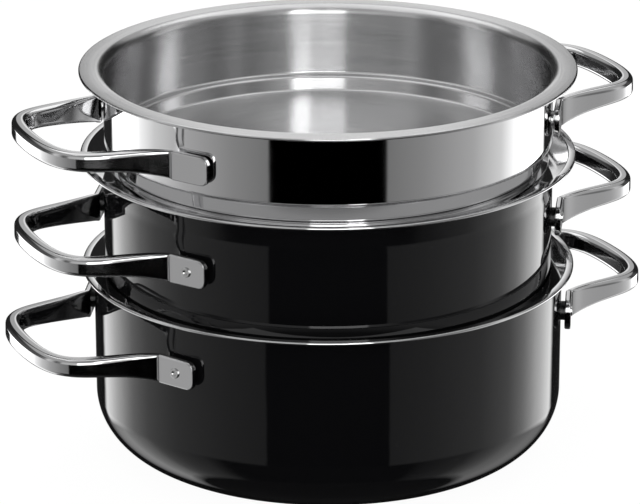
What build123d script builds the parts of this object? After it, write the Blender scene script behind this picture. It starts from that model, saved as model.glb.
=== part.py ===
from build123d import *
import os
from math import asin, cos, radians, sin, sqrt

os.makedirs("parts", exist_ok=True)

# Rims, alike on all three vessels
rim_radius = 127.7
rim_thickness = 1.6
rim_flat_width = 3.7
rim_step = 0.4
dish_drop = 1.9
skirt_height = 2.8
bead_share = 0.45

# Deep base pot, standing on the ground plane
base_rim_height = 98.1
base_rim_overhang = 5.9
base_corner_radius = 30.8
base_seat_depth = 8.4

# Shallow middle vessel, nested in the base pot's mouth
middle_nest_depth = 26.5
middle_height = 86.0
middle_rim_overhang = 11.7
middle_corner_radius = 30.4
ledge_setback = 5.2
ledge_width = 6.0
ledge_step = 0.3

# Both enamelled bodies
enamel_wall = 1.8
enamel_floor = 2.6
seat_clearance = 0.3

# Stainless insert, standing on the middle vessel's ledge
insert_rise = 45.2
insert_rim_overhang = 12.3
insert_wall = 1.2
insert_floor = 2.0
insert_lip_radius = 4.0
insert_shoulder_rise = 11.2
insert_collar_rise = 5.8
insert_collar_margin = 0.2
insert_heel_radius = 1.6
insert_bend_radius = 0.8

# Steam vents in the insert's floor
vent_radius = 2.5
vent_pitch = 9.0
vent_rings = 3
vents_per_ring = 6

# Loop handles: a bar, two legs and two pads
handle_standout = 34.4
handle_half_span = 42.6
bar_width = 7.8
bar_height = 7.4
neck_width = 3.4
handle_edge_radius = 1.5
bar_rise = 2.7
insert_bar_lift = 2.0
pad_height = 14.9
pad_length = 22.4
pad_thickness = 3.2
pad_corner_radius = 3.8
stud_beyond_span = 18.0
leg_foot_inset = 0.3
leg_foot_rise = 2.2

# How each vessel carries its handles
base_pad_drop = 24.9
base_reach_extra = 6.3
middle_pad_drop = 32.1
insert_pad_drop = 24.1
boss_standoff = 2.1
button_standoff = 1.1

# Studs, bosses and weld buttons
stud_radius = 2.1
stud_head_rise = 0.5
dimple_radius = 1.4
dimple_depth = 0.4
stud_fit = 0.05
boss_radius = 5.0
button_radius = 4.2

# Stations of half a handle, from the bar's middle down one leg to its foot.
# Each row: reach beyond the foot, half span, spread from there out to the foot, narrowing
# towards the neck, growth towards the pad's height, and fall to the pads' level.
handle_shares = (
    (1.000, 0.000, 0.00, 0.00, 0.00, 0.00),
    (0.992, 0.310, 0.00, 0.00, 0.00, 0.00),
    (0.955, 0.590, 0.00, 0.00, 0.00, 0.00),
    (0.885, 0.790, 0.00, 0.00, 0.01, 0.02),
    (0.765, 0.925, 0.00, 0.00, 0.04, 0.05),
    (0.600, 0.990, 0.00, 0.02, 0.08, 0.11),
    (0.420, 1.000, 0.10, 0.12, 0.14, 0.20),
    (0.250, 1.000, 0.26, 0.36, 0.27, 0.36),
    (0.110, 1.000, 0.57, 0.66, 0.50, 0.60),
    (0.000, 1.000, 1.00, 0.95, 0.80, 0.85),
)

# Radii that follow from the sizes above
base_wall_radius = rim_radius - base_rim_overhang
middle_wall_radius = rim_radius - middle_rim_overhang
insert_wall_radius = rim_radius - insert_rim_overhang
ledge_end_radius = middle_wall_radius - ledge_setback
ledge_radius = ledge_end_radius - ledge_width
insert_collar_radius = ledge_end_radius + insert_collar_margin
handle_reach = rim_radius + handle_standout
pad_stud_offset = handle_half_span + stud_beyond_span

# Heights that follow from the sizes above
base_seat_top = base_rim_height - dish_drop
middle_bottom_height = base_rim_height - middle_nest_depth
middle_rim_height = middle_bottom_height + middle_height
insert_underside = middle_rim_height - dish_drop - ledge_step
insert_rim_height = middle_rim_height + insert_rise
insert_collar_height = insert_underside + insert_collar_rise
insert_shoulder_height = insert_underside + insert_shoulder_rise
base_pad_level = base_rim_height - base_pad_drop
middle_pad_level = middle_rim_height - middle_pad_drop
insert_pad_level = insert_rim_height - insert_pad_drop
cut_overrun = pad_length


def turned(points, corner_radii):
    """A solid turned about the vertical axis from an outline of (radius, height) points."""
    outline = FilletPolyline(*points, radius=corner_radii, close=True)
    return revolve(Plane.XZ * make_face(outline), Axis.Z)


def enamelled_body(wall_radius, corner_radius, bottom, top):
    """A round vessel: flat bottom, rounded corner and straight wall."""
    inner_radius = wall_radius - enamel_wall
    floor_top = bottom + enamel_floor
    points = [
        (0, bottom),
        (wall_radius, bottom),
        (wall_radius, top),
        (inner_radius, top),
        (inner_radius, floor_top),
        (0, floor_top),
    ]
    return turned(points, [0, corner_radius, 0, 0, corner_radius - enamel_wall, 0])


def rim_points(rim_height, wall_radius):
    """Outline shared by both rim rings, from the skirt on the wall out and over the bead."""
    half = rim_thickness / 2
    flat_end = rim_radius - rim_flat_width
    return [
        (wall_radius - enamel_wall, rim_height - skirt_height),
        (wall_radius, rim_height - skirt_height),
        (rim_radius - rim_thickness, rim_height - half),
        (rim_radius, rim_height - half),
        (rim_radius, rim_height + half),
        (flat_end, rim_height + half),
        (flat_end - rim_step, rim_height + half - rim_step),
    ]


def rim_radii():
    """Corner radii that go with rim_points."""
    bead = rim_thickness * bead_share
    return [0, 0, 0, bead, bead, rim_step, rim_step]


def corner_reach(height):
    """Outer radius of the middle vessel at a height, round its corner and up its wall."""
    rise = max(0, middle_bottom_height + middle_corner_radius - height)
    return middle_wall_radius - middle_corner_radius + sqrt(middle_corner_radius**2 - rise**2)


def make_base_rim():
    """Rim ring whose dish turns down into a seat round the middle vessel's corner."""
    foot = base_seat_top - base_seat_depth
    halfway = (base_seat_top + foot) / 2
    levels = (base_seat_top, halfway, foot)
    inner = [(corner_reach(level) + seat_clearance, level) for level in levels]
    outer = [(radius + rim_thickness, level) for radius, level in inner]
    outer[0] = (outer[0][0], base_rim_height - skirt_height)
    points = rim_points(base_rim_height, base_wall_radius) + inner + outer[::-1]
    radii = rim_radii() + [rim_step, 0, 0, 0, 0, 0]
    return turned(points, radii)


def make_middle_rim():
    """Rim ring whose dish runs in to the flat ledge under the insert."""
    points = rim_points(middle_rim_height, middle_wall_radius) + [
        (ledge_end_radius, insert_underside),
        (ledge_radius, insert_underside),
        (ledge_radius, insert_underside - rim_thickness),
        (ledge_end_radius, insert_underside - rim_thickness),
    ]
    return turned(points, rim_radii() + [0, rim_step, rim_step, 0])


def make_insert_shell():
    """Stainless insert: rolled rim band, straight wall, shoulder, collar and vented floor."""
    top = insert_rim_height + rim_thickness / 2
    floor_top = insert_underside + insert_floor
    wall_inside = insert_wall_radius - insert_wall
    collar_inside = insert_collar_radius - insert_wall
    bead = rim_thickness * bead_share
    outline = (
        (0, insert_underside, 0),
        (insert_collar_radius - insert_heel_radius, insert_underside, insert_heel_radius),
        (insert_collar_radius, insert_collar_height, insert_bend_radius),
        (insert_wall_radius, insert_shoulder_height, insert_bend_radius),
        (insert_wall_radius, top - rim_thickness, insert_lip_radius),
        (rim_radius, top - rim_thickness, bead),
        (rim_radius, top, bead),
        (wall_inside, top, insert_lip_radius + insert_wall),
        (wall_inside, insert_shoulder_height + insert_wall / 2, insert_bend_radius),
        (collar_inside, insert_collar_height + insert_wall / 2, insert_bend_radius),
        (collar_inside - insert_heel_radius, floor_top, insert_bend_radius),
        (0, floor_top, 0),
    )
    shell = turned([row[:2] for row in outline], [row[2] for row in outline])
    places = [(0, 0)]
    for ring in range(1, vent_rings + 1):
        for step in range(vents_per_ring * ring):
            turn = radians(360 * step / (vents_per_ring * ring))
            places.append((ring * vent_pitch * cos(turn), ring * vent_pitch * sin(turn)))
    drills = [Pos(x, y, floor_top) * Cylinder(vent_radius, cut_overrun) for x, y in places]
    return shell - drills


def pad_frame(pad_radius, side):
    """Plane on a pad's inner face at its stud, facing out; side is 1 or -1."""
    turn = side * asin(pad_stud_offset / (pad_radius + pad_thickness / 2))
    outward = Vector(cos(turn), sin(turn), 0)
    along = Vector(-sin(turn), cos(turn), 0)
    return Plane(origin=outward * pad_radius, x_dir=along, z_dir=outward)


def handle_stations(pad_radius, reach, bar_lift):
    """Centre, width and height of the loop's sections, from one foot round to the other."""
    spot = (leg_foot_inset - pad_length / 2, 0, leg_foot_rise)
    foot = pad_frame(pad_radius, 1).from_local_coords(spot)
    rows = []
    for out, span, spread, neck, growth, fall in handle_shares:
        x = foot.X + (reach - foot.X) * out
        y = handle_half_span * span + (foot.Y - handle_half_span) * spread
        level = (bar_rise + bar_lift) * (1 - fall)
        width = bar_width + (neck_width - bar_width) * neck
        height = bar_height + (pad_height - bar_height) * growth
        rows.append((x, y, level, width, height))
    other_leg = [(x, -y, z, width, height) for x, y, z, width, height in rows[1:]]
    return rows[::-1] + other_leg


def make_handle(pad_radius, reach, bar_lift, drilled):
    """A loop handle on +X with its pads at height zero."""
    stations = handle_stations(pad_radius, reach, bar_lift)
    route = Spline(*[row[:3] for row in stations])
    sections = []
    for x, y, z, width, height in stations:
        ahead = route.tangent_at(route.param_at_point((x, y, z)))
        level = Vector(ahead.X, ahead.Y, 0).normalized()
        plane = Plane(origin=(x, y, z), x_dir=(0, 0, 1), z_dir=level)
        sections.append(plane * RectangleRounded(height, width, handle_edge_radius))
    handle = loft(sections)
    for side in (1, -1):
        plate = extrude(RectangleRounded(pad_length, pad_height, pad_corner_radius), pad_thickness)
        handle += pad_frame(pad_radius, side) * plate
        if drilled:
            handle -= pad_frame(pad_radius, side) * Cylinder(stud_radius + stud_fit, cut_overrun)
    return handle


def make_boss(pad_radius, wall_radius, side, radius, drilled):
    """A stand-off from a pad's inner face to the round wall, bored where a stud passes."""
    into_wall = (Align.CENTER, Align.CENTER, Align.MAX)
    boss = Cylinder(radius, cut_overrun, align=into_wall)
    if drilled:
        boss -= Cylinder(stud_radius + stud_fit, cut_overrun, align=into_wall)
    return pad_frame(pad_radius, side) * boss - Cylinder(wall_radius, cut_overrun * 2)


def make_stud(pad_radius, wall_radius, side):
    """A weld stud from the round wall through boss and pad, with a dimpled head."""
    reach = pad_thickness + stud_head_rise
    shank = Cylinder(stud_radius, cut_overrun, align=(Align.CENTER, Align.CENTER, Align.MAX))
    head = Cylinder(stud_radius, reach, align=(Align.CENTER, Align.CENTER, Align.MIN))
    stud = shank + head
    stud = fillet(stud.edges().sort_by(Axis.Z)[-1], stud_head_rise * bead_share)
    stud -= Pos(0, 0, reach + dimple_radius - dimple_depth) * Sphere(dimple_radius)
    return pad_frame(pad_radius, side) * stud - Cylinder(wall_radius, cut_overrun * 2)


def write(name, shapes, level=0, half_turn=0):
    """Writes one node, raised to its level and turned to its side of the vessel."""
    placed = [Rot(0, 0, half_turn) * (Pos(0, 0, level) * shape) for shape in shapes]
    solids = [solid for shape in placed for solid in shape.solids()]
    export_step(solids[0] if len(solids) == 1 else Compound(children=solids), f"parts/{name}.step")


# Vessel bodies and rims
write("base_body", [enamelled_body(base_wall_radius, base_corner_radius, 0, base_rim_height - skirt_height)])
write("base_rim", [make_base_rim()])
middle_body = enamelled_body(
    middle_wall_radius, middle_corner_radius, middle_bottom_height, middle_rim_height - skirt_height
)
write("middle_body", [middle_body])
write("middle_rim", [make_middle_rim()])
write("insert_shell", [make_insert_shell()])

# Handles with their bosses and studs, right hand side on +X and left hand side on -X
enamelled_vessels = (
    ("base", base_wall_radius, handle_reach + base_reach_extra, base_pad_level),
    ("middle", middle_wall_radius, handle_reach, middle_pad_level),
)
for vessel, wall_radius, reach, pad_level in enamelled_vessels:
    pad_radius = wall_radius + boss_standoff
    handle = make_handle(pad_radius, reach, 0, True)
    bosses = [make_boss(pad_radius, wall_radius, side, boss_radius, True) for side in (1, -1)]
    studs = [make_stud(pad_radius, wall_radius, side) for side in (1, -1)]
    for hand, half_turn in (("right", 0), ("left", 180)):
        write(f"{vessel}_handle_{hand}", [handle], pad_level, half_turn)
        write(f"{vessel}_spacers_{hand}", bosses, pad_level, half_turn)
        write(f"{vessel}_studs_{hand}", studs, pad_level, half_turn)

pad_radius = insert_wall_radius + button_standoff
handle = make_handle(pad_radius, handle_reach, insert_bar_lift, False)
buttons = [make_boss(pad_radius, insert_wall_radius, side, button_radius, False) for side in (1, -1)]
for hand, half_turn in (("right", 0), ("left", 180)):
    write(f"insert_handle_{hand}", [handle], insert_pad_level, half_turn)
    write(f"insert_weld_buttons_{hand}", buttons, insert_pad_level, half_turn)
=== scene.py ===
from math import asin, cos, pi, radians, sin, sqrt, tan

import bmesh
import bpy
from bpy.props import FloatProperty, FloatVectorProperty, IntProperty, PointerProperty
from mathutils import Matrix, Vector


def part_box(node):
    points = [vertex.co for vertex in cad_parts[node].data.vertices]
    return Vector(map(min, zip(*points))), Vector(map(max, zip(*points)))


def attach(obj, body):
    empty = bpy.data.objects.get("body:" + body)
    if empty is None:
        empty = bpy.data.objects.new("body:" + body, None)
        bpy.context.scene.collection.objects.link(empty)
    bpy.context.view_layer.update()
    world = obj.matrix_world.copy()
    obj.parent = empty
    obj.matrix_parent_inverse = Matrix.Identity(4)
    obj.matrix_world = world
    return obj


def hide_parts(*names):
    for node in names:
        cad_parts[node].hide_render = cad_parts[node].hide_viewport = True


bl_info = {
    "name": "Steamer Pot",
    "version": (1, 0, 0),
    "blender": (4, 5, 0),
    "location": "3D View > Sidebar > Steamer Pot",
    "description": "Builds a stacking steamer pot of enamelled and polished steel",
    "category": "Object",
}

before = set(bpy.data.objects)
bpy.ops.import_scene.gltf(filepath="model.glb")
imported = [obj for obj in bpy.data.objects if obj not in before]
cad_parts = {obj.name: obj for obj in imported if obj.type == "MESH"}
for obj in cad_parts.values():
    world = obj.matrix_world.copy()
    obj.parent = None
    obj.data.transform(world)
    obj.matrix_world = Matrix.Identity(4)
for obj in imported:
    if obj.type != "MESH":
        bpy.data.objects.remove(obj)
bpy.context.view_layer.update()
MM = 0.001
VESSELS = {"base": "base_pot", "middle": "middle_vessel", "insert": "steam_insert"}
HANDS = {"right": 1, "left": -1}
# Facets across each rounded corner of a turned piece
VESSEL_STEPS, INSERT_STEPS, RIM_STEPS, STUD_STEPS = 24, 10, 8, 4
# Faces that meet at a wider angle than this keep a sharp edge
TURNED_EDGE, STUD_EDGE = radians(32), radians(40)
# Radius of a rolled bead as a share of the rim's thickness
BEAD_SHARE = 0.45
# Points of a turned piece and of a handle that lie nearer than this are made one
TURNED_MERGE, HANDLE_MERGE = 0.01 * MM, 0.001 * MM


def low(node):
    """Lowest corner of a CAD node."""
    return Vector(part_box(node)[0])


def high(node):
    """Highest corner of a CAD node."""
    return Vector(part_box(node)[1])


class VesselSizes(bpy.types.PropertyGroup):
    """Sheet thicknesses and roundings of the three vessels."""

    enamel_wall: FloatProperty(
        name="Enamelled wall", description="Thickness of an enamelled wall",
        default=1.8 * MM, unit="LENGTH")
    enamel_floor: FloatProperty(
        name="Enamelled floor", description="Thickness of an enamelled floor",
        default=2.6 * MM, unit="LENGTH")
    base_corner: FloatProperty(
        name="Base corner", description="Outer radius of the base pot's rounded corner",
        default=30.8 * MM, unit="LENGTH")
    middle_corner: FloatProperty(
        name="Middle corner", description="Outer radius of the middle vessel's rounded corner",
        default=30.4 * MM, unit="LENGTH")
    middle_flare: FloatProperty(
        name="Middle flare", description="How far the middle vessel's wall spreads under its rim",
        default=1.0 * MM, unit="LENGTH")
    flare_height: FloatProperty(
        name="Flare height", description="Height over which the middle vessel's wall spreads",
        default=12.0 * MM, unit="LENGTH")
    rim_thickness: FloatProperty(
        name="Rim thickness", description="Thickness of the rolled rims",
        default=1.6 * MM, unit="LENGTH")
    rim_flat: FloatProperty(
        name="Rim flat", description="Width of the flat land at a rim's outer edge",
        default=3.6 * MM, unit="LENGTH")
    rim_step: FloatProperty(
        name="Rim step", description="Small step between a rim's flat land and its dish",
        default=0.4 * MM, unit="LENGTH")
    dish_slope: FloatProperty(
        name="Dish slope", description="Slope of a rim's dish",
        default=radians(18), subtype="ANGLE")
    dish_rounding: FloatProperty(
        name="Dish rounding", description="Radius at the foot of a rim's dish",
        default=0.8 * MM, unit="LENGTH")
    dish_land: FloatProperty(
        name="Dish land", description="Width from the foot of the middle rim's dish to its ledge",
        default=2.9 * MM, unit="LENGTH")
    seat_drop: FloatProperty(
        name="Seat drop", description="How far the base rim's seat starts below its wall line",
        default=2.9 * MM, unit="LENGTH")
    ledge_radius: FloatProperty(
        name="Ledge radius", description="Inner radius of the ledge that carries the insert",
        default=104.8 * MM, unit="LENGTH")
    ledge_width: FloatProperty(
        name="Ledge width", description="Width of the ledge that carries the insert",
        default=6.0 * MM, unit="LENGTH")
    skirt_height: FloatProperty(
        name="Skirt height", description="How far a rim's skirt reaches down to the wall",
        default=2.8 * MM, unit="LENGTH")
    insert_wall: FloatProperty(
        name="Insert wall", description="Thickness of the insert's steel",
        default=1.2 * MM, unit="LENGTH")
    insert_floor: FloatProperty(
        name="Insert floor", description="Thickness of the insert's floor",
        default=2.0 * MM, unit="LENGTH")
    insert_radius: FloatProperty(
        name="Insert radius", description="Outer radius of the insert's wall",
        default=115.4 * MM, unit="LENGTH")
    lip_rounding: FloatProperty(
        name="Lip rounding", description="Radius of the roll from the insert's wall to its rim",
        default=4.0 * MM, unit="LENGTH")
    shoulder_rise: FloatProperty(
        name="Shoulder rise", description="Height of the insert's shoulder over its underside",
        default=8.8 * MM, unit="LENGTH")
    shoulder_fall: FloatProperty(
        name="Shoulder fall", description="How far the shoulder falls towards the collar",
        default=0.6 * MM, unit="LENGTH")
    shoulder_rounding: FloatProperty(
        name="Shoulder rounding", description="Radius from the insert's wall to its shoulder",
        default=2.6 * MM, unit="LENGTH")
    collar_radius: FloatProperty(
        name="Collar radius", description="Outer radius of the collar under the shoulder",
        default=111.0 * MM, unit="LENGTH")
    collar_bend: FloatProperty(
        name="Collar bend", description="Radius of the bend from the shoulder to the collar",
        default=0.8 * MM, unit="LENGTH")
    heel_rounding: FloatProperty(
        name="Heel rounding", description="Radius of the insert's lower edge",
        default=1.6 * MM, unit="LENGTH")
    vent_radius: FloatProperty(
        name="Vent radius", description="Radius of a steam vent",
        default=2.5 * MM, unit="LENGTH")
    vent_pitch: FloatProperty(
        name="Vent pitch", description="Distance between rings of steam vents",
        default=9.0 * MM, unit="LENGTH")
    turn_steps: IntProperty(
        name="Turn steps", description="Facets round a turned piece", default=288)


class HandleSizes(bpy.types.PropertyGroup):
    """Sizes of the loop handles and of what fixes them."""

    half_span: FloatProperty(
        name="Half span", description="Half the distance between a handle's legs",
        default=42.6 * MM, unit="LENGTH")
    bar_width: FloatProperty(
        name="Bar width", description="Width of the bar, seen from above",
        default=8.4 * MM, unit="LENGTH")
    bar_height: FloatProperty(
        name="Bar height", description="Height of the bar", default=9.2 * MM, unit="LENGTH")
    neck_width: FloatProperty(
        name="Neck width", description="Thickness of a leg where it meets its pad",
        default=3.4 * MM, unit="LENGTH")
    bar_rise: FloatProperty(
        name="Bar rise", description="Height of the bar's middle over the pads' middle",
        default=2.7 * MM, unit="LENGTH")
    pad_height: FloatProperty(
        name="Pad height", description="Height of a pad", default=14.9 * MM, unit="LENGTH")
    pad_length: FloatProperty(
        name="Pad length", description="Length of a pad along the wall",
        default=22.4 * MM, unit="LENGTH")
    pad_thickness: FloatProperty(
        name="Pad thickness", description="Thickness of a pad", default=3.2 * MM, unit="LENGTH")
    pad_corner: FloatProperty(
        name="Pad corner", description="Corner radius of a pad", default=3.8 * MM, unit="LENGTH")
    stud_offset: FloatProperty(
        name="Stud offset", description="Sideways distance of a stud from the handle's middle",
        default=60.6 * MM, unit="LENGTH")
    boss_standoff: FloatProperty(
        name="Boss stand-off", description="Gap between an enamelled wall and a pad",
        default=2.1 * MM, unit="LENGTH")
    button_standoff: FloatProperty(
        name="Button stand-off", description="Gap between the insert's wall and a pad",
        default=1.1 * MM, unit="LENGTH")
    foot_inset: FloatProperty(
        name="Foot inset", description="How far a leg's foot stands in from its pad's near end",
        default=0.3 * MM, unit="LENGTH")
    foot_rise: FloatProperty(
        name="Foot rise", description="How far a leg's foot stands out from its pad's inner face",
        default=2.2 * MM, unit="LENGTH")
    top_rounding: FloatProperty(
        name="Top rounding", description="Rounding of the bar's upper edges",
        default=1.4 * MM, unit="LENGTH")
    outer_lean: FloatProperty(
        name="Outer lean", description="How far the outer side of bar and legs leans in",
        default=radians(1), subtype="ANGLE")
    inner_lean: FloatProperty(
        name="Inner lean", description="How far the inner side of bar and legs leans in",
        default=radians(12), subtype="ANGLE")
    edge_rounding: FloatProperty(
        name="Edge rounding", description="Rounding of the bar's other edges",
        default=1.3 * MM, unit="LENGTH")
    stud_radius: FloatProperty(
        name="Stud radius", description="Radius of a weld stud's head",
        default=2.6 * MM, unit="LENGTH")
    stud_rise: FloatProperty(
        name="Stud rise", description="How far a stud's head stands out of its pad",
        default=0.8 * MM, unit="LENGTH")
    dimple_radius: FloatProperty(
        name="Dimple radius", description="Radius of the dimple in a stud's head",
        default=1.4 * MM, unit="LENGTH")
    dimple_depth: FloatProperty(
        name="Dimple depth", description="Depth of the dimple in a stud's head",
        default=0.6 * MM, unit="LENGTH")


class FinishColours(bpy.types.PropertyGroup):
    """Colours of the finishes."""

    enamel: FloatVectorProperty(
        name="Enamel", description="Black glass enamel", subtype="COLOR", size=4,
        default=(0.004, 0.004, 0.0045, 1))
    polished: FloatVectorProperty(
        name="Polished steel", description="Mirror polished steel", subtype="COLOR", size=4,
        default=(0.71, 0.71, 0.715, 1))
    brushed: FloatVectorProperty(
        name="Brushed steel", description="Steel brushed in rings", subtype="COLOR", size=4,
        default=(0.66, 0.66, 0.665, 1))
    cast: FloatVectorProperty(
        name="Cast steel", description="Polished cast steel of the handles", subtype="COLOR",
        size=4, default=(0.64, 0.64, 0.645, 1))
    satin: FloatVectorProperty(
        name="Satin steel", description="Satin steel of studs and weld buttons",
        subtype="COLOR", size=4, default=(0.6, 0.6, 0.6, 1))
    boss: FloatVectorProperty(
        name="Boss", description="Black enamel of the stand-off bosses", subtype="COLOR",
        size=4, default=(0.008, 0.008, 0.008, 1))


class StageSettings(bpy.types.PropertyGroup):
    """Camera, floor and lamps."""

    camera_azimuth: FloatProperty(
        name="Camera azimuth", description="Direction of the camera round the pot",
        default=radians(-24.2), subtype="ANGLE")
    camera_elevation: FloatProperty(
        name="Camera elevation", description="Height of the camera over the horizon",
        default=radians(19.25), subtype="ANGLE")
    camera_distance: FloatProperty(
        name="Camera distance", description="Distance from the base rim's centre",
        default=1.9659, unit="LENGTH")
    camera_lens: FloatProperty(
        name="Camera lens", description="Focal length in millimetres on a 36 mm sensor",
        default=212.1)
    camera_shift: FloatVectorProperty(
        name="Camera shift", description="Small sideways and upward shift of the lens",
        size=2, default=(-0.0125, 0.0108))
    floor_size: FloatProperty(
        name="Floor size", description="Width of the floor", default=6.0, unit="LENGTH")
    lamp_power: FloatProperty(
        name="Lamp power", description="Power of the overhead softbox in watts", default=9.0)


def sizes():
    return bpy.context.scene.steamer_vessels


def grips():
    return bpy.context.scene.steamer_handles


def colours():
    return bpy.context.scene.steamer_colours


def stage_settings():
    return bpy.context.scene.steamer_stage


class Nodes:
    """A short way to add linked shader nodes to a tree."""

    def __init__(self, tree):
        self.tree = tree
        tree.nodes.clear()

    def add(self, kind, inputs=None, **settings):
        """Adds a node; inputs are values or sockets to link, by name or number."""
        node = self.tree.nodes.new(kind)
        for key, value in settings.items():
            setattr(node, key, value)
        for key, value in (inputs or {}).items():
            socket = node.inputs[key]
            if isinstance(value, bpy.types.NodeSocket):
                self.tree.links.new(value, socket)
            else:
                socket.default_value = value
        return node

    def math(self, operation, first, second=0.0, third=0.0):
        """A math node's result."""
        inputs = {0: first, 1: second, 2: third}
        return self.add("ShaderNodeMath", inputs, operation=operation).outputs[0]

    def ramp(self, factor, stops, interpolation="LINEAR"):
        """A colour ramp of (position, grey) stops."""
        node = self.add("ShaderNodeValToRGB", {"Fac": factor})
        node.color_ramp.interpolation = interpolation
        elements = node.color_ramp.elements
        while len(elements) > 1:
            elements.remove(elements[-1])
        elements[0].position = stops[0][0]
        elements[0].color = (stops[0][1],) * 3 + (1,)
        for position, grey in stops[1:]:
            elements.new(position).color = (grey, grey, grey, 1)
        return node.outputs["Color"]


def new_material(name):
    """An empty material and the helper for its nodes."""
    material = bpy.data.materials.new(name)
    material.use_nodes = True
    return material, Nodes(material.node_tree)


def finish_material(nodes, shader):
    nodes.add("ShaderNodeOutputMaterial", {"Surface": shader.outputs[0]})


def turning_coordinates(nodes):
    """Object coordinates as radius, angle and height about the vertical axis."""
    place = nodes.add("ShaderNodeTexCoord").outputs["Object"]
    x, y, z = nodes.add("ShaderNodeSeparateXYZ", {0: place}).outputs
    squares = nodes.math("MULTIPLY", x, x), nodes.math("MULTIPLY", y, y)
    radius = nodes.math("SQRT", nodes.math("ADD", *squares))
    angle = nodes.math("ARCTAN2", y, x)
    return radius, angle, z


def black_enamel(name):
    """Glossy black glass enamel with a faint orange peel and a few fine specks."""
    material, nodes = new_material(name)
    place = nodes.add("ShaderNodeTexCoord").outputs["Object"]
    peel = nodes.add("ShaderNodeTexNoise", {"Vector": place, "Scale": 70.0, "Detail": 2.0})
    bump = nodes.add("ShaderNodeBump", {
        "Height": peel.outputs["Fac"], "Strength": 0.018, "Distance": 0.002})
    speck = nodes.add("ShaderNodeTexNoise", {"Vector": place, "Scale": 900.0, "Detail": 1.0})
    colour = nodes.add("ShaderNodeMix", {
        "Factor": nodes.math("GREATER_THAN", speck.outputs["Fac"], 0.74),
        "A": colours().enamel[:], "B": (0.012, 0.012, 0.0125, 1)}, data_type="RGBA")
    smear = nodes.add("ShaderNodeTexNoise", {"Vector": place, "Scale": 14.0, "Detail": 3.0})
    rough = nodes.add("ShaderNodeMapRange", {
        "Value": smear.outputs["Fac"], "To Min": 0.015, "To Max": 0.035})
    shader = nodes.add("ShaderNodeBsdfPrincipled", {
        "Base Color": colour.outputs["Result"], "Roughness": rough.outputs["Result"],
        "IOR": 1.47, "Normal": bump.outputs["Normal"]})
    finish_material(nodes, shader)
    return material


def steel(name, colour, roughness, spread, grain, bump_strength):
    """Polished steel: fine polishing marks and slow variation of gloss."""
    material, nodes = new_material(name)
    place = nodes.add("ShaderNodeTexCoord").outputs["Object"]
    marks = nodes.add("ShaderNodeMapping", {"Vector": place, "Scale": grain})
    fine = nodes.add("ShaderNodeTexNoise", {
        "Vector": marks.outputs[0], "Scale": 1.0, "Detail": 3.0})
    slow = nodes.add("ShaderNodeTexNoise", {"Vector": place, "Scale": 22.0, "Detail": 2.0})
    rough = nodes.add("ShaderNodeMapRange", {
        "Value": nodes.math("MULTIPLY", fine.outputs["Fac"], slow.outputs["Fac"]),
        "From Min": 0.1, "From Max": 0.45, "To Min": roughness, "To Max": roughness + spread})
    bump = nodes.add("ShaderNodeBump", {
        "Height": fine.outputs["Fac"], "Strength": bump_strength, "Distance": 0.0002})
    shader = nodes.add("ShaderNodeBsdfPrincipled", {
        "Base Color": colour, "Metallic": 1.0, "Roughness": rough.outputs["Result"],
        "Normal": bump.outputs["Normal"]})
    finish_material(nodes, shader)
    return material


def ring_brushed_steel(name, roughness, strength):
    """Steel brushed in rings about the vessel's axis."""
    material, nodes = new_material(name)
    radius, angle, height = turning_coordinates(nodes)
    lines = nodes.add("ShaderNodeCombineXYZ", {
        "X": nodes.math("MULTIPLY", radius, 2600.0),
        "Y": nodes.math("MULTIPLY", angle, 7.0),
        "Z": nodes.math("MULTIPLY", height, 2600.0)})
    brush = nodes.add("ShaderNodeTexNoise", {
        "Vector": lines.outputs[0], "Scale": 1.0, "Detail": 4.0})
    broad = nodes.add("ShaderNodeCombineXYZ", {
        "X": nodes.math("MULTIPLY", radius, 420.0),
        "Y": nodes.math("MULTIPLY", angle, 1.6),
        "Z": nodes.math("MULTIPLY", height, 420.0)})
    bands = nodes.add("ShaderNodeTexNoise", {
        "Vector": broad.outputs[0], "Scale": 1.0, "Detail": 2.0})
    rough = nodes.add("ShaderNodeMapRange", {
        "Value": bands.outputs["Fac"], "To Min": roughness - 0.05, "To Max": roughness + 0.06})
    tint = nodes.add("ShaderNodeMapRange", {
        "Value": brush.outputs["Fac"], "To Min": 0.86, "To Max": 1.08})
    colour = nodes.add("ShaderNodeMix", {
        "Factor": 1.0, "A": colours().brushed[:], "B": tint.outputs["Result"]},
        data_type="RGBA", blend_type="MULTIPLY")
    bump = nodes.add("ShaderNodeBump", {
        "Height": brush.outputs["Fac"], "Strength": strength, "Distance": 0.0003})
    around = nodes.add("ShaderNodeTangent", direction_type="RADIAL", axis="Z")
    shader = nodes.add("ShaderNodeBsdfPrincipled", {
        "Base Color": colour.outputs["Result"], "Metallic": 1.0,
        "Roughness": rough.outputs["Result"], "Anisotropic": 1.0, "Anisotropic Rotation": 0.25,
        "Normal": bump.outputs["Normal"], "Tangent": around.outputs[0]})
    finish_material(nodes, shader)
    return material


def cached(name, make, **values):
    """A material by name, made once."""
    return bpy.data.materials.get(name) or make(name, **values)


def enamel_finish():
    return cached("glossy_black_enamel", black_enamel)


def polished_finish():
    return cached(
        "mirror_steel", steel, colour=colours().polished[:], roughness=0.035, spread=0.03,
        grain=(300, 300, 90), bump_strength=0.02)


def brushed_finish():
    return cached("ring_brushed_steel", ring_brushed_steel, roughness=0.2, strength=0.05)


def cast_finish():
    return cached(
        "polished_cast_steel", steel, colour=colours().cast[:], roughness=0.06, spread=0.05,
        grain=(160, 160, 160), bump_strength=0.03)


def satin_finish():
    return cached(
        "satin_steel", steel, colour=colours().satin[:], roughness=0.12, spread=0.1,
        grain=(900, 900, 900), bump_strength=0.1)


def boss_finish():
    return cached("dull_black_boss", boss_enamel)


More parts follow.
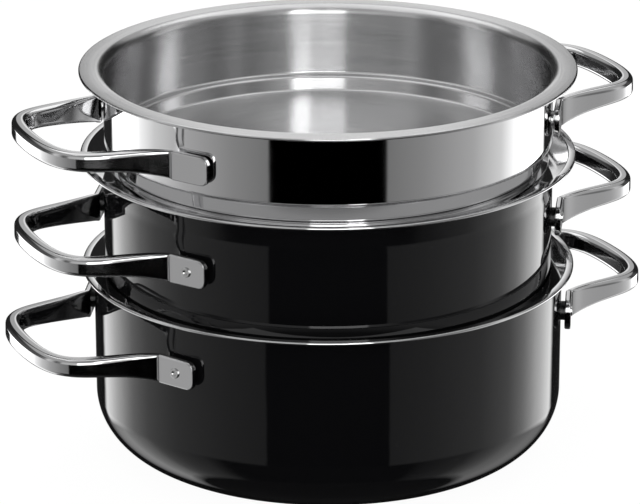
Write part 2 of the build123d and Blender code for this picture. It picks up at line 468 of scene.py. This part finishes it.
def boss_enamel(name):
    """Black enamelled boss, duller than the walls."""
    material, nodes = new_material(name)
    place = nodes.add("ShaderNodeTexCoord").outputs["Object"]
    pits = nodes.add("ShaderNodeTexNoise", {"Vector": place, "Scale": 700.0, "Detail": 3.0})
    bump = nodes.add("ShaderNodeBump", {
        "Height": pits.outputs["Fac"], "Strength": 0.1, "Distance": 0.0003})
    rough = nodes.add("ShaderNodeMapRange", {
        "Value": pits.outputs["Fac"], "To Min": 0.2, "To Max": 0.4})
    shader = nodes.add("ShaderNodeBsdfPrincipled", {
        "Base Color": colours().boss[:], "Roughness": rough.outputs["Result"],
        "Normal": bump.outputs["Normal"]})
    finish_material(nodes, shader)
    return material


def add_piece(name, mesh, body, materials, nodes=()):
    """Links a finished mesh, gives it its finishes and rides it on its body."""
    piece = bpy.data.objects.new(name, mesh)
    bpy.context.scene.collection.objects.link(piece)
    for material in materials:
        mesh.materials.append(material)
    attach(piece, body)
    if nodes:
        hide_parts(*nodes)
    return piece


def smooth(mesh, angle):
    """Smooth shading, with sharp edges where faces meet at more than the angle."""
    mesh.shade_smooth()
    mesh.set_sharp_from_angle(angle=angle)


def outline(bm, corners, steps):
    """A closed outline in the XZ plane; corners are (radius, height, rounding)."""
    verts = [bm.verts.new((radius, 0, height)) for radius, height, _ in corners]
    for first, second in zip(verts, verts[1:] + verts[:1]):
        if first.co.x + second.co.x > 0:
            bm.edges.new((first, second))
    spots = [v.co.copy() for v in verts]
    for index, (_, _, rounding) in enumerate(corners):
        if rounding:
            back = spots[index - 1] - spots[index]
            ahead = spots[(index + 1) % len(spots)] - spots[index]
            reach = rounding / tan(back.angle(ahead) / 2)
            bmesh.ops.bevel(
                bm, geom=[verts[index]], offset=reach, offset_type="OFFSET", segments=steps,
                profile=0.5, affect="VERTICES", material=-1)


def turned_mesh(name, corners, steps):
    """A closed mesh turned about the vertical axis from a rounded outline."""
    bm = bmesh.new()
    outline(bm, corners, steps)
    bmesh.ops.spin(
        bm, geom=bm.verts[:] + bm.edges[:], cent=(0, 0, 0), axis=(0, 0, 1), angle=2 * pi,
        steps=sizes().turn_steps, use_merge=True)
    bmesh.ops.remove_doubles(bm, verts=bm.verts, dist=TURNED_MERGE)
    bmesh.ops.recalc_face_normals(bm, faces=bm.faces)
    mesh = bpy.data.meshes.new(name)
    bm.to_mesh(mesh)
    bm.free()
    smooth(mesh, TURNED_EDGE)
    return mesh


class STEAMER_OT_stage(bpy.types.Operator):
    """Makes the pale floor, the studio, the lamps and the camera."""

    bl_idname = "steamer.stage"
    bl_label = "Stage"

    def execute(self, context):
        context.scene.view_settings.view_transform = "Standard"
        make_floor()
        make_studio()
        make_lamps()
        make_camera()
        return {"FINISHED"}


# How much of the floor's brightness to the camera is plain white, without the shadow
WHITE_SHARE = 0.93


def make_floor():
    """A plain pale floor that keeps the pot's shadow and that reflections look through."""
    bm = bmesh.new()
    bmesh.ops.create_grid(bm, x_segments=1, y_segments=1, size=stage_settings().floor_size / 2)
    mesh = bpy.data.meshes.new("floor")
    bm.to_mesh(mesh)
    bm.free()
    floor = bpy.data.objects.new("floor", mesh)
    bpy.context.scene.collection.objects.link(floor)
    material, nodes = new_material("pale_floor")
    rays = nodes.add("ShaderNodeLightPath")
    matte = nodes.add("ShaderNodeBsdfDiffuse", {"Color": (0.82, 0.82, 0.82, 1)})
    white = nodes.add("ShaderNodeEmission", {"Color": (1, 1, 1, 1), "Strength": 1.04})
    bright = nodes.add("ShaderNodeMixShader", {
        0: WHITE_SHARE, 1: matte.outputs[0], 2: white.outputs[0]})
    seen = nodes.add("ShaderNodeMixShader", {
        0: rays.outputs["Is Camera Ray"], 1: matte.outputs[0], 2: bright.outputs[0]})
    through = nodes.add("ShaderNodeBsdfTransparent")
    both = nodes.add("ShaderNodeMixShader", {
        0: rays.outputs["Is Glossy Ray"], 1: seen.outputs[0], 2: through.outputs[0]})
    finish_material(nodes, both)
    mesh.materials.append(material)


# Brightness of the studio that the pot mirrors, in bright and dark stretches, by bearing
# from the camera in degrees: just below the horizon, as the upright walls mirror it
STUDIO_BELOW = (
    (-180, 0.6), (-174, 0.5), (-168, 0.02), (-147, 0.02), (-143, 3.0), (-136, 3.0), (-124, 2.3),
    (-112, 1.25), (-100, 0.8), (-80, 0.5), (-50, 0.3), (-30.5, 0.22), (-29.5, 0.0),
    (29.5, 0.0), (30.5, 0.22), (50, 0.3), (80, 0.5), (100, 0.85), (112, 1.5), (124, 2.6),
    (136, 3.0), (143, 3.0), (147, 0.02), (168, 0.02), (174, 0.5), (180, 0.6),
)
# As the rounded corners reflect it, far below the horizon
STUDIO_DEEP = (
    (-180, 0.01), (-152, 0.01), (-147, 0.4), (-140, 0.9), (-127, 1.6), (-115, 1.4), (-105, 1.2),
    (-97, 0.75), (-83, 0.48), (-66, 0.3), (-54, 0.03), (-47, 0.01), (43, 0.01), (50, 0.1),
    (66, 0.2), (76, 0.25), (86, 0.5), (93, 0.65), (108, 1.0), (130, 0.9), (142, 0.6),
    (150, 0.2), (154, 0.01), (180, 0.01),
)
# Above the horizon, with the tall lamp beside the camera
STUDIO_ABOVE = (
    (-180, 0.02), (-145, 0.02), (-125, 0.1), (-104, 0.1), (-92, 0.25), (-84, 0.8), (-74, 0.6),
    (-62, 0.15), (-52, 0.24), (-46, 0.58), (-9, 0.72), (-8.5, 3.0), (20.5, 2.9), (21, 0.72),
    (32, 0.44), (40, 0.2), (68, 0.14), (78, 0.3), (86, 0.75), (97, 0.6), (107, 0.06),
    (125, 0.1), (145, 0.02), (180, 0.02),
)
# High above the horizon
STUDIO_HIGH = (
    (-180, 0.5), (-125, 0.5), (-105, 0.5), (-30, 0.4), (30, 0.4), (105, 0.5), (125, 0.5),
    (180, 0.5),
)
# Brightness of the backdrop behind the pot, and the bearings between which it fades in
BACKDROP = 1.0
BACKDROP_EDGE = radians(173), radians(177)
# Brightness at a ramp's full white
BRIGHTEST = 3.0
# Heights of a direction, from -1 straight down to 1 straight up, between which one part of
# the studio goes over into the next
NADIR_EDGE, DEEP_EDGE, HORIZON_EDGE = (-0.86, -0.82), (-0.46, -0.41), (-0.26, -0.19)
HIGH_EDGE, ZENITH_EDGE = (0.44, 0.52), (0.84, 0.92)
NADIR, ZENITH = (0.01, 0.01, 0.01, 1), (0.02, 0.02, 0.02, 1)


def make_studio():
    """The world: white to the camera, soft grey to matt surfaces, the rings to mirrors."""
    world = bpy.data.worlds.new("studio")
    bpy.context.scene.world = world
    world.use_nodes = True
    nodes = Nodes(world.node_tree)
    direction = nodes.add("ShaderNodeTexCoord").outputs["Generated"]
    turned = nodes.add("ShaderNodeVectorRotate", {
        "Vector": direction, "Angle": -stage_settings().camera_azimuth}, rotation_type="Z_AXIS")
    x, y, z = nodes.add("ShaderNodeSeparateXYZ", {0: turned.outputs[0]}).outputs
    bearing = nodes.math("ARCTAN2", x, nodes.math("MULTIPLY", y, -1.0))
    share = nodes.math("MULTIPLY_ADD", bearing, 0.5 / pi, 0.5)
    deep, below, above, high_up = (
        nodes.ramp(share, [(angle / 360 + 0.5, grey / BRIGHTEST) for angle, grey in ring])
        for ring in (STUDIO_DEEP, STUDIO_BELOW, STUDIO_ABOVE, STUDIO_HIGH)
    )

    def blend(value, edge, first, second):
        """Mixes from the first to the second as the value crosses an edge."""
        rise = nodes.add("ShaderNodeMapRange", {
            "Value": value, "From Min": edge[0], "From Max": edge[1]})
        mix = nodes.add("ShaderNodeMix", {
            "Factor": rise.outputs["Result"], "A": first, "B": second}, data_type="RGBA")
        return mix.outputs["Result"]

    behind = nodes.math("ABSOLUTE", bearing)
    backdrop = blend(behind, BACKDROP_EDGE, above, (BACKDROP / BRIGHTEST,) * 3 + (1,))
    upper = blend(z, HIGH_EDGE, backdrop, high_up)
    lower = blend(z, DEEP_EDGE, deep, below)
    studio = blend(z, HORIZON_EDGE, lower, upper)
    studio = blend(z, ZENITH_EDGE, studio, ZENITH)
    studio = blend(z, NADIR_EDGE, NADIR, studio)
    rays = nodes.add("ShaderNodeLightPath")
    soft = nodes.add("ShaderNodeBackground", {"Color": (0.8, 0.8, 0.8, 1), "Strength": 0.9})
    shine = nodes.add("ShaderNodeBackground", {"Color": studio, "Strength": BRIGHTEST})
    white = nodes.add("ShaderNodeBackground", {"Color": (1, 1, 1, 1), "Strength": 1.0})
    glossy = nodes.add("ShaderNodeMixShader", {
        0: rays.outputs["Is Glossy Ray"], 1: soft.outputs[0], 2: shine.outputs[0]})
    seen = nodes.add("ShaderNodeMixShader", {
        0: rays.outputs["Is Camera Ray"], 1: glossy.outputs[0], 2: white.outputs[0]})
    nodes.add("ShaderNodeOutputWorld", {"Surface": seen.outputs[0]})


# Each lamp's name, width and depth, how many times weaker than the softbox it is, and place
LAMPS = (
    ("overhead_softbox", 1.7, 1.7, 1, (0.1, 0.3, 1.5)),
    ("strip_light", 0.2, 0.4, 9, (-0.2, -1.25, 0.95)),
)
LAMP_TARGET = (0, 0, 0.1)


def make_lamps():
    """One overhead softbox and a narrow strip, which draws the short highlights on the rims."""
    for name, width, depth, weaker, place in LAMPS:
        lamp = bpy.data.lights.new(name, "AREA")
        lamp.shape = "RECTANGLE"
        lamp.size = width
        lamp.size_y = depth
        lamp.energy = stage_settings().lamp_power / weaker
        holder = bpy.data.objects.new(name, lamp)
        holder.location = place
        aim = Vector(LAMP_TARGET) - Vector(place)
        holder.rotation_euler = aim.to_track_quat("-Z", "Y").to_euler()
        bpy.context.scene.collection.objects.link(holder)


def make_camera():
    """The camera at the photograph's angle."""
    settings = stage_settings()
    data = bpy.data.cameras.new("camera")
    data.lens = settings.camera_lens
    data.sensor_width = 36
    data.shift_x, data.shift_y = settings.camera_shift
    data.clip_end = 50
    turn, tilt = settings.camera_azimuth, settings.camera_elevation
    back = Vector((sin(turn) * cos(tilt), -cos(turn) * cos(tilt), sin(tilt)))
    target = Vector((0, 0, high("base_rim").z - sizes().rim_thickness / 2))
    camera = bpy.data.objects.new("camera", data)
    camera.location = target + back * settings.camera_distance
    camera.rotation_euler = (-back).to_track_quat("-Z", "Y").to_euler()
    bpy.context.scene.collection.objects.link(camera)
    bpy.context.scene.camera = camera


# Radius of the bend where a wall starts to spread, in heights of that spread
FLARE_BEND = 3


class STEAMER_OT_enamelled_bodies(bpy.types.Operator):
    """Turns the two black enamelled vessels."""

    bl_idname = "steamer.enamelled_bodies"
    bl_label = "Enamelled bodies"

    def execute(self, context):
        s = sizes()
        for vessel, corner, flare in (
            ("base", s.base_corner, 0), ("middle", s.middle_corner, s.middle_flare)
        ):
            node = f"{vessel}_body"
            radius, bottom, top = high(node).y, low(node).z, high(node).z
            wall, floor = s.enamel_wall, s.enamel_floor
            bend = s.flare_height * FLARE_BEND
            spread = [(radius, top - s.flare_height, bend)] if flare else []
            mesh = turned_mesh(f"{vessel}_enamelled_vessel", (
                (0, bottom, 0),
                (radius, bottom, corner),
                *spread,
                (radius + flare, top, 0),
                (radius - wall, top, 0),
                (radius - wall, bottom + floor, corner - wall),
                (0, bottom + floor, 0),
            ), VESSEL_STEPS)
            add_piece(mesh.name, mesh, VESSELS[vessel], [enamel_finish()], [node])
        return {"FINISHED"}


# Roundings of a rim at its skirt's foot, and where the skirt meets the band's underside
SKIRT_ROUNDING, BAND_ROUNDING = 0.15 * MM, 0.2 * MM


def rim_corners(vessel, dish_end):
    """Outline shared by both rim rings: from the skirt out, over the bead and down the dish."""
    s = sizes()
    node = f"{vessel}_rim"
    edge, top = high(node).y, high(node).z
    wall = high(f"{vessel}_body").y + (s.middle_flare if vessel == "middle" else 0)
    level = top - s.rim_thickness / 2
    bead = s.rim_thickness * BEAD_SHARE
    step = s.rim_step
    inner = edge - s.rim_flat - step
    fall = (inner - dish_end) * tan(s.dish_slope)
    return [
        (wall - s.enamel_wall, level - s.skirt_height, 0),
        (wall, level - s.skirt_height, SKIRT_ROUNDING),
        (edge - s.rim_thickness, level - s.rim_thickness / 2, BAND_ROUNDING),
        (edge, level - s.rim_thickness / 2, bead),
        (edge, top, bead),
        (edge - s.rim_flat, top, step),
        (inner, top - step, step),
        (dish_end, top - step - fall, s.dish_rounding),
    ]


# Clearance between the base rim's seat and the middle vessel, rounding of the seat's upper
# edge, and facets down the seat
SEAT_CLEARANCE = 0.3 * MM
SEAT_ROUNDING = 0.5 * MM
SEAT_STEPS = 4


def seat_corners():
    """The base rim's seat, which follows the middle vessel's corner, inside and outside."""
    s = sizes()
    level = high("base_rim").z - s.rim_thickness / 2
    top, foot = level - s.seat_drop, low("base_rim").z
    radius, bottom = high("middle_body").y, low("middle_body").z
    heights = [top + (foot - top) * step / SEAT_STEPS for step in range(SEAT_STEPS + 1)]
    rises = [bottom + s.middle_corner - height for height in heights]
    inner = [
        radius - s.middle_corner + sqrt(s.middle_corner**2 - rise * rise) + SEAT_CLEARANCE
        for rise in rises]
    outer = [reach + s.rim_thickness for reach in inner]
    down = [(reach, height, 0) for reach, height in zip(inner, heights)]
    down[0] = (inner[0], top, SEAT_ROUNDING)
    up = [(reach, height, 0) for reach, height in zip(outer, heights)][::-1]
    up[-1] = (outer[0], level - s.skirt_height, 0)
    return down + up


LEDGE_ROUNDING = 0.4 * MM


def ledge_corners():
    """The middle rim's flat ledge that carries the insert."""
    s = sizes()
    seat, foot = low("insert_shell").z, low("middle_rim").z
    inner = s.ledge_radius
    end = inner + s.ledge_width
    return [
        (end, seat, LEDGE_ROUNDING),
        (inner, seat, LEDGE_ROUNDING),
        (inner, foot, LEDGE_ROUNDING),
        (end, foot, 0),
    ]


class STEAMER_OT_rims(bpy.types.Operator):
    """Turns the two polished rim rings."""

    bl_idname = "steamer.rims"
    bl_label = "Rim rings"

    def execute(self, context):
        s = sizes()
        for vessel, inside, land in (
            ("base", seat_corners(), s.rim_step * 2), ("middle", ledge_corners(), s.dish_land)
        ):
            corners = rim_corners(vessel, inside[0][0] + land) + inside
            mesh = turned_mesh(f"{vessel}_polished_rim", corners, RIM_STEPS)
            add_piece(
                mesh.name, mesh, VESSELS[vessel], [polished_finish()], [f"{vessel}_rim"])
        return {"FINISHED"}


def insert_corners():
    """Outline of the insert: floor, collar, shoulder, wall and rolled rim band."""
    s = sizes()
    edge, top, under = high("insert_shell").y, high("insert_shell").z, low("insert_shell").z
    bead = s.rim_thickness * BEAD_SHARE
    wall, collar, heel, sheet = s.insert_radius, s.collar_radius, s.heel_rounding, s.insert_wall
    shoulder = under + s.shoulder_rise
    collar_top = shoulder - s.shoulder_fall
    return [
        (0, under, 0),
        (collar, under, heel),
        (collar, collar_top, s.collar_bend),
        (wall, shoulder, s.shoulder_rounding),
        (wall, top - s.rim_thickness, s.lip_rounding),
        (edge, top - s.rim_thickness, bead),
        (edge, top, bead),
        (wall - sheet, top, s.lip_rounding + sheet),
        (wall - sheet, shoulder + sheet, s.shoulder_rounding - sheet),
        (collar - sheet, collar_top + sheet, s.collar_bend + sheet),
        (collar - sheet - heel, under + s.insert_floor, heel),
        (0, under + s.insert_floor, 0),
    ]


# Rings of steam vents round the middle one, facets round a vent, and the drills' length
VENT_RINGS = 3
VENT_FACETS = 24
DRILL_LENGTH = 10 * MM


def vent_cutter():
    """One object with a drill for each steam vent."""
    s = sizes()
    bm = bmesh.new()
    places = [(0, 0)]
    for ring in range(1, VENT_RINGS + 1):
        for step in range(6 * ring):
            turn = 2 * pi * step / (6 * ring)
            places.append((ring * s.vent_pitch * cos(turn), ring * s.vent_pitch * sin(turn)))
    for x, y in places:
        bmesh.ops.create_cone(
            bm, cap_ends=True, segments=VENT_FACETS, radius1=s.vent_radius,
            radius2=s.vent_radius, depth=DRILL_LENGTH,
            matrix=Matrix.Translation((x, y, low("insert_shell").z)))
    mesh = bpy.data.meshes.new("vent_drills")
    bm.to_mesh(mesh)
    bm.free()
    drills = bpy.data.objects.new("vent_drills", mesh)
    bpy.context.scene.collection.objects.link(drills)
    return drills


# The outer wall's polish stops this far below the rim's top, and leaves out faces whose
# normals rise by more than the second number
POLISH_MARGIN = 2 * MM
STEEPEST_POLISH = 0.3


class STEAMER_OT_insert(bpy.types.Operator):
    """Turns the steel insert, drills its vents and polishes its outer wall."""

    bl_idname = "steamer.insert"
    bl_label = "Steaming insert"

    def execute(self, context):
        mesh = turned_mesh("insert_steel_shell", insert_corners(), INSERT_STEPS)
        shell = add_piece(
            mesh.name, mesh, VESSELS["insert"], [brushed_finish(), polished_finish()],
            ["insert_shell"])
        drills = vent_cutter()
        cut = shell.modifiers.new("vents", "BOOLEAN")
        cut.object = drills
        cut.solver = "EXACT"
        with context.temp_override(object=shell, active_object=shell, selected_objects=[shell]):
            bpy.ops.object.modifier_apply(modifier=cut.name)
        bpy.data.objects.remove(drills)
        top = high("insert_shell").z - POLISH_MARGIN
        for face in shell.data.polygons:
            place, normal = face.center, face.normal
            outward = normal.x * place.x + normal.y * place.y > 0
            outer = place.z < top and place.to_2d().length > sizes().ledge_radius
            if outward and outer and normal.z < STEEPEST_POLISH:
                face.material_index = 1
        smooth(shell.data, TURNED_EDGE)
        return {"FINISHED"}


# Stations of half a handle, from the bar's middle down one leg to its foot.
# Each row: reach beyond the foot, half span, spread from there out to the foot, narrowing
# towards the neck, growth towards the pad's height, and fall to the pads' level.
HANDLE_SHARES = (
    (1.000, 0.000, 0.00, 0.00, 0.00, 0.00),
    (0.992, 0.310, 0.00, 0.00, 0.00, 0.00),
    (0.955, 0.590, 0.00, 0.00, 0.00, 0.00),
    (0.885, 0.790, 0.00, 0.00, 0.01, 0.02),
    (0.765, 0.925, 0.00, 0.00, 0.04, 0.05),
    (0.600, 0.990, 0.00, 0.02, 0.12, 0.11),
    (0.420, 1.000, 0.17, 0.12, 0.25, 0.20),
    (0.250, 1.000, 0.42, 0.36, 0.46, 0.36),
    (0.110, 1.000, 0.70, 0.66, 0.70, 0.60),
    (0.000, 1.000, 1.00, 0.95, 0.90, 0.85),
)


# Stations round a pad's corners: how far back from its free end, as shares of the corner's
# radius, and how much of that radius the pad's height loses there on each side
PAD_CORNER_SHARES = ((1, 0), (0.62, 0.08), (0.29, 0.3), (0.08, 0.62))
# Stations close to the pad's near end, and one close to its free end with its loss of height
PAD_NEAR_ENDS = (0.6 * MM, 2.2 * MM)
PAD_FREE_END = (0.25 * MM, 0.86)


def pad_circle(vessel):
    """Radius of the circle that a vessel's pads touch."""
    g = grips()
    if vessel == "insert":
        return sizes().insert_radius + g.button_standoff
    return high(f"{vessel}_body").y + g.boss_standoff


def pad_axes(circle):
    """Outward and along directions of the pad on the +Y side of the right hand handle."""
    g = grips()
    turn = asin(g.stud_offset / (circle + g.pad_thickness / 2))
    return Vector((cos(turn), sin(turn), 0)), Vector((-sin(turn), cos(turn), 0))


def leg_stations(vessel, node):
    """Stations from the bar's middle to the pad's end: centre, across, width, height, lean."""
    g = grips()
    circle = pad_circle(vessel)
    level = low(node).z + g.pad_height / 2
    reach = high(node).x - g.bar_width / 2 - tan(g.outer_lean) * g.bar_height / 2
    lift = high(node).z - level - g.bar_height / 2 if vessel == "insert" else g.bar_rise
    outward, along = pad_axes(circle)
    half, corner = g.pad_length / 2, g.pad_corner
    foot = outward * (circle + g.foot_rise) - along * (half - g.foot_inset)
    rows = []
    for out, span, spread, neck, growth, fall in HANDLE_SHARES:
        x = foot.x + (reach - foot.x) * out
        y = g.half_span * span + (foot.y - g.half_span) * spread
        centre = Vector((x, y, level + lift * (1 - fall)))
        width = g.bar_width + (g.neck_width - g.bar_width) * neck
        height = g.bar_height + (g.pad_height - g.bar_height) * growth
        rows.append([centre, None, width, height, 1 - neck])
    for index, row in enumerate(rows):
        before = rows[index - 1][0] if index else Vector((row[0].x, -1, 0))
        after = rows[min(index + 1, len(rows) - 1)][0]
        ahead = (after - before).to_2d().normalized()
        row[1] = Vector((ahead.y, -ahead.x, 0))
    middle = outward * (circle + g.pad_thickness / 2) + Vector((0, 0, level))
    ends = [(-half + near, 0) for near in PAD_NEAR_ENDS] + [(0, 0)]
    ends += [(half - corner * back, cut) for back, cut in PAD_CORNER_SHARES]
    ends += [(half - PAD_FREE_END[0], PAD_FREE_END[1]), (half, 1.0)]
    for run, cut in ends:
        height = g.pad_height - 2 * corner * cut
        rows.append([middle + along * run, outward, g.pad_thickness, height, 0])
    return rows


# Widest rounding of a section's edges, as a share of its width
WIDEST_ROUNDING = 0.22


def section_points(centre, across, width, height, lean, mirrored):
    """Points round a leg's section, crowded at its edges so that its sides stay flat."""
    g = grips()
    share = min(1, width / g.bar_width)
    big = min(g.top_rounding * share, width * WIDEST_ROUNDING)
    small = min(g.edge_rounding * share, width * WIDEST_ROUNDING)
    w, h = width / 2, height / 2
    points = []
    for middle, over, up, cut in (
        ((w, 0), w, h, big), ((0, h), -w, h, big), ((-w, 0), -w, -h, small),
        ((0, -h), w, -h, small)
    ):
        points.append(middle)
        x, y = (1 if over > 0 else -1), (1 if up > 0 else -1)
        edge = [
            (over, up - y * 2 * cut), (over, up - y * cut), (over - x * cut, up),
            (over - x * 2 * cut, up)]
        points += edge if x == y else edge[::-1]
    outer, inner = tan(g.outer_lean) * lean, tan(g.inner_lean) * lean
    points = [(out - (outer * up if out > 0 else -inner * up), up) for out, up in points]
    spots = [centre + across * out + Vector((0, 0, up)) for out, up in points]
    if mirrored:
        spots = [Vector((p.x, -p.y, p.z)) for p in spots]
    return spots


def handle_mesh(name, vessel, node):
    """A right hand handle: one section carried along the loop and drawn out into its pads.

    A copy of the first face stays behind as the near end's cap.
    """
    leg = leg_stations(vessel, node)
    route = [section_points(*row, False) for row in leg[::-1]]
    route += [section_points(*row, True) for row in leg[1:]]
    bm = bmesh.new()
    face = bm.faces.new([bm.verts.new(p) for p in route[0]])
    bmesh.ops.duplicate(bm, geom=[face])
    for spots in route[1:]:
        grown = bmesh.ops.extrude_face_region(bm, geom=[face])["geom"]
        bmesh.ops.delete(bm, geom=[face], context="FACES_ONLY")
        face = next(item for item in grown if isinstance(item, bmesh.types.BMFace))
        for vert, spot in zip(face.verts, spots):
            vert.co = spot
    bmesh.ops.remove_doubles(bm, verts=bm.verts, dist=HANDLE_MERGE)
    bmesh.ops.recalc_face_normals(bm, faces=bm.faces)
    mesh = bpy.data.meshes.new(name)
    bm.to_mesh(mesh)
    bm.free()
    return mesh


ROUNDING_LEVELS = 3


class STEAMER_OT_handles(bpy.types.Operator):
    """Draws the six loop handles with their pads."""

    bl_idname = "steamer.handles"
    bl_label = "Loop handles"

    def execute(self, context):
        for vessel, body in VESSELS.items():
            for hand, side in HANDS.items():
                mesh = handle_mesh(f"{vessel}_loop_{hand}", vessel, f"{vessel}_handle_right")
                if side < 0:
                    mesh.transform(Matrix.Rotation(pi, 4, "Z"))
                piece = add_piece(
                    mesh.name, mesh, body, [cast_finish()], [f"{vessel}_handle_{hand}"])
                rounding = piece.modifiers.new("rounding", "SUBSURF")
                rounding.levels = rounding.render_levels = ROUNDING_LEVELS
                smooth(mesh, pi)
        return {"FINISHED"}


# Depth of a stud behind its pad as a share of the stand-off, and the dimple's floor as a
# share of its radius
STUD_DEPTH = 0.7
DIMPLE_FLOOR = 0.5
# Roundings of a stud's head, of the dimple's edge and of the dimple's foot
HEAD_ROUNDING, DIMPLE_EDGE, DIMPLE_FOOT = 0.3 * MM, 0.2 * MM, 0.3 * MM


class STEAMER_OT_studs(bpy.types.Operator):
    """Turns the dimpled weld studs of the enamelled vessels."""

    bl_idname = "steamer.studs"
    bl_label = "Weld studs"

    def execute(self, context):
        g = grips()
        head, foot = g.pad_thickness + g.stud_rise, -g.boss_standoff * STUD_DEPTH
        for vessel in ("base", "middle"):
            circle = pad_circle(vessel)
            outward, along = pad_axes(circle)
            for hand, side in HANDS.items():
                node = f"{vessel}_studs_{hand}"
                level = (low(node).z + high(node).z) / 2
                bm = bmesh.new()
                for across in (1, -1):
                    stud = turned_mesh("stud", (
                        (0, foot, 0),
                        (g.stud_radius, foot, 0),
                        (g.stud_radius, head, HEAD_ROUNDING),
                        (g.dimple_radius, head, DIMPLE_EDGE),
                        (g.dimple_radius * DIMPLE_FLOOR, head - g.dimple_depth, DIMPLE_FOOT),
                        (0, head - g.dimple_depth, 0),
                    ), STUD_STEPS)
                    out = Vector((outward.x, outward.y * across, 0))
                    turn = Vector((0, 0, 1)).rotation_difference(out).to_matrix().to_4x4()
                    place = Matrix.Translation(out * circle + Vector((0, 0, level)))
                    stud.transform(Matrix.Rotation(0 if side > 0 else pi, 4, "Z") @ place @ turn)
                    bm.from_mesh(stud)
                    bpy.data.meshes.remove(stud)
                mesh = bpy.data.meshes.new(f"{vessel}_weld_studs_{hand}")
                bm.to_mesh(mesh)
                bm.free()
                smooth(mesh, STUD_EDGE)
                add_piece(mesh.name, mesh, VESSELS[vessel], [satin_finish()], [node])
        return {"FINISHED"}


class STEAMER_OT_hidden_fixings(bpy.types.Operator):
    """Finishes the bosses and weld buttons between pads and walls."""

    bl_idname = "steamer.hidden_fixings"
    bl_label = "Bosses and weld buttons"

    def execute(self, context):
        for name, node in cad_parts.items():
            if "spacers" in name:
                node.data.materials.clear()
                node.data.materials.append(boss_finish())
            if "buttons" in name:
                node.data.materials.clear()
                node.data.materials.append(satin_finish())
        return {"FINISHED"}


class STEAMER_PT_panel(bpy.types.Panel):
    """Lists the steps that build the pot."""

    bl_idname = "STEAMER_PT_panel"
    bl_label = "Steamer Pot"
    bl_space_type = "VIEW_3D"
    bl_region_type = "UI"
    bl_category = "Steamer Pot"

    def draw(self, context):
        for operator in OPERATORS:
            self.layout.operator(operator.bl_idname)
        for name, group in GROUPS.items():
            box = self.layout.box()
            for setting in group.__annotations__:
                box.prop(getattr(context.scene, name), setting)


OPERATORS = (
    STEAMER_OT_stage,
    STEAMER_OT_enamelled_bodies,
    STEAMER_OT_rims,
    STEAMER_OT_insert,
    STEAMER_OT_handles,
    STEAMER_OT_studs,
    STEAMER_OT_hidden_fixings,
)
GROUPS = {
    "steamer_vessels": VesselSizes,
    "steamer_handles": HandleSizes,
    "steamer_colours": FinishColours,
    "steamer_stage": StageSettings,
}


def register():
    for cls in (*GROUPS.values(), *OPERATORS, STEAMER_PT_panel):
        bpy.utils.register_class(cls)
    for name, group in GROUPS.items():
        setattr(bpy.types.Scene, name, PointerProperty(type=group))


def unregister():
    for name in GROUPS:
        delattr(bpy.types.Scene, name)
    for cls in (STEAMER_PT_panel, *OPERATORS[::-1], *GROUPS.values()):
        bpy.utils.unregister_class(cls)


def main():
    """Builds everything."""
    register()
    bpy.ops.steamer.stage()
    bpy.ops.steamer.enamelled_bodies()
    bpy.ops.steamer.rims()
    bpy.ops.steamer.insert()
    bpy.ops.steamer.handles()
    bpy.ops.steamer.studs()
    bpy.ops.steamer.hidden_fixings()


if __name__ == "__main__":
    main()
